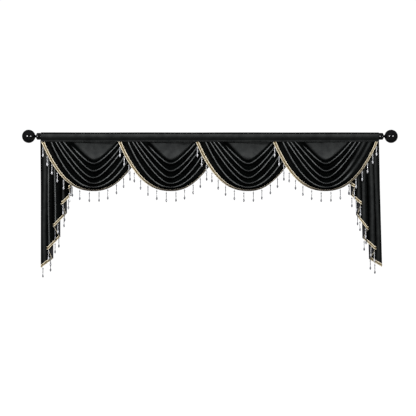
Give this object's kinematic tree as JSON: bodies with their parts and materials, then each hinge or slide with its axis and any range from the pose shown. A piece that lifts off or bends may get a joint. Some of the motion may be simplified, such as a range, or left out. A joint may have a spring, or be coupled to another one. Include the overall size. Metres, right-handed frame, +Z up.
{
  "type": "velvet swag valance on a curtain pole",
  "caption": "Velvet swag valance with pleated cascade tails, braid and hanging bead fringe, hung by its rod pocket on a ball-ended curtain pole.",
  "frame": {"origin": "on the pole's axis at the middle of its length, where its wall brackets hold it", "axes": "+X along the pole to the viewer's right, +Y towards the wall, +Z up; the room is towards -Y"},
  "size_m": [2.7728, 0.1178, 1.0908],
  "materials": {
    "velvet": "black velvet with a soft sheen",
    "braid": "woven cream and gold gimp braid",
    "beads": "clear faceted glass beads",
    "pole_black": "gloss black paint"
  },
  "bodies": {
    "root": {"pole": "pole_black", "finial_collar_left": "pole_black", "finial_collar_right": "pole_black", "finial_ball_left": "pole_black", "finial_ball_right": "pole_black", "heading_sleeve": "velvet", "swag_1": "velvet", "swag_2": "velvet", "swag_3": "velvet", "swag_4": "velvet", "tail_left": "velvet", "tail_right": "velvet", "swag_trim_1": "braid", "swag_trim_2": "braid", "swag_trim_3": "braid", "swag_trim_4": "braid", "tail_trim_left": "braid", "tail_trim_right": "braid"}
  },
  "joints": []
}
